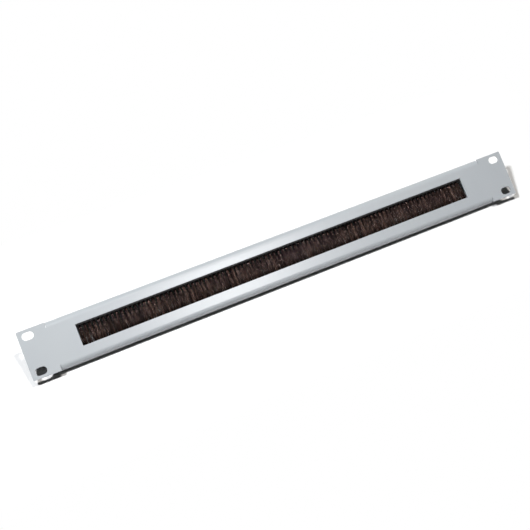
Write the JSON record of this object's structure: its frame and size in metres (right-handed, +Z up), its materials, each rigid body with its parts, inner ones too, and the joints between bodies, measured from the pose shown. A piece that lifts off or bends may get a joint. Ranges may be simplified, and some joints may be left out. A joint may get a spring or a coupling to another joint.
{
  "type": "rack brush panel",
  "caption": "Light grey folded steel rack panel, one unit high, with slotted ears and a long window closed by a row of dark bristle tufts for cable entry.",
  "frame": {"origin": "centre of the four mounting slots, on the panel's front face", "axes": "+X along the panel, to the right seen from the front; -Y out of the front face, towards the viewer; +Z up when mounted in a rack"},
  "size_m": [0.4826, 0.017, 0.0436],
  "materials": {
    "powder_coat": "semi-gloss light grey powder coat on folded sheet steel",
    "black_plastic": "black extruded plastic lath",
    "bristle": "dark brown-black bristle filament",
    "steel_wire": "flat steel wire",
    "zinc_plate": "bright zinc plate"
  },
  "bodies": {
    "root": {"front_panel": "powder_coat", "brush_block": "black_plastic", "bristle_tufts": "bristle", "tuft_staples": "steel_wire", "block_screws": "zinc_plate"}
  },
  "joints": []
}
